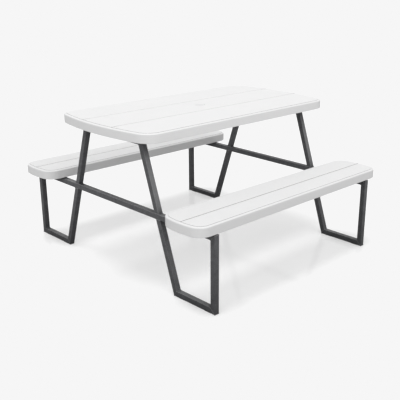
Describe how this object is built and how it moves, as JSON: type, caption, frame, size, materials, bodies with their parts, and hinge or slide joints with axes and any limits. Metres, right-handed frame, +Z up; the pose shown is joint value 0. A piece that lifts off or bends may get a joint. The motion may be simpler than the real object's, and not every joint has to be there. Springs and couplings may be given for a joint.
{
  "type": "picnic table",
  "caption": "Picnic table with a bowed-end white plastic top, attached bench boards on both sides and angled steel end frames.",
  "frame": {"origin": "on the floor under the middle of the table", "axes": "+X along the table and its benches, +Y across it towards the back bench, +Z up"},
  "size_m": [1.304, 1.3654, 0.737],
  "materials": {
    "board_plastic": "fine-grained moulded polyethylene, white",
    "cap_plastic": "smooth moulded polyethylene, white",
    "frame_steel": "dark grey hammered powder coat",
    "glide_plastic": "black moulded nylon",
    "zinc_steel": "zinc-plated",
    "insert_brass": "turned"
  },
  "bodies": {
    "table": {"bench_bolts": "zinc_steel", "bench_end_plates_back": "frame_steel", "bench_end_plates_front": "frame_steel", "bench_inserts": "insert_brass", "bench_middle_plate_back": "frame_steel", "bench_middle_plate_front": "frame_steel", "bench_seat_back": "board_plastic", "bench_seat_front": "board_plastic", "bench_support_rail_back": "frame_steel", "bench_support_rail_front": "frame_steel", "bench_washers": "zinc_steel", "left_back_foot_bar": "frame_steel", "left_back_glides": "glide_plastic", "left_back_lower_leg": "frame_steel", "left_back_post": "frame_steel", "left_back_upper_leg": "frame_steel", "left_crossbar": "frame_steel", "left_front_foot_bar": "frame_steel", "left_front_glides": "glide_plastic", "left_front_lower_leg": "frame_steel", "left_front_post": "frame_steel", "left_front_upper_leg": "frame_steel", "left_top_rail": "frame_steel", "right_back_foot_bar": "frame_steel", "right_back_glides": "glide_plastic", "right_back_lower_leg": "frame_steel", "right_back_post": "frame_steel", "right_back_upper_leg": "frame_steel", "right_crossbar": "frame_steel", "right_front_foot_bar": "frame_steel", "right_front_glides": "glide_plastic", "right_front_lower_leg": "frame_steel", "right_front_post": "frame_steel", "right_front_upper_leg": "frame_steel", "right_top_rail": "frame_steel", "tabletop": "board_plastic", "top_bolts": "zinc_steel", "top_end_plates": "frame_steel", "top_inserts": "insert_brass", "top_middle_plates": "frame_steel", "top_support_rail_back": "frame_steel", "top_support_rail_front": "frame_steel", "top_washers": "zinc_steel"},
    "umbrella_cap": {"umbrella_hole_cap": "cap_plastic"}
  },
  "joints": [
    {"name": "cap_lift", "type": "slide", "parent": "table", "child": "umbrella_cap", "axis": [0, 0, 1], "range_m": [0, 0.03]}
  ]
}
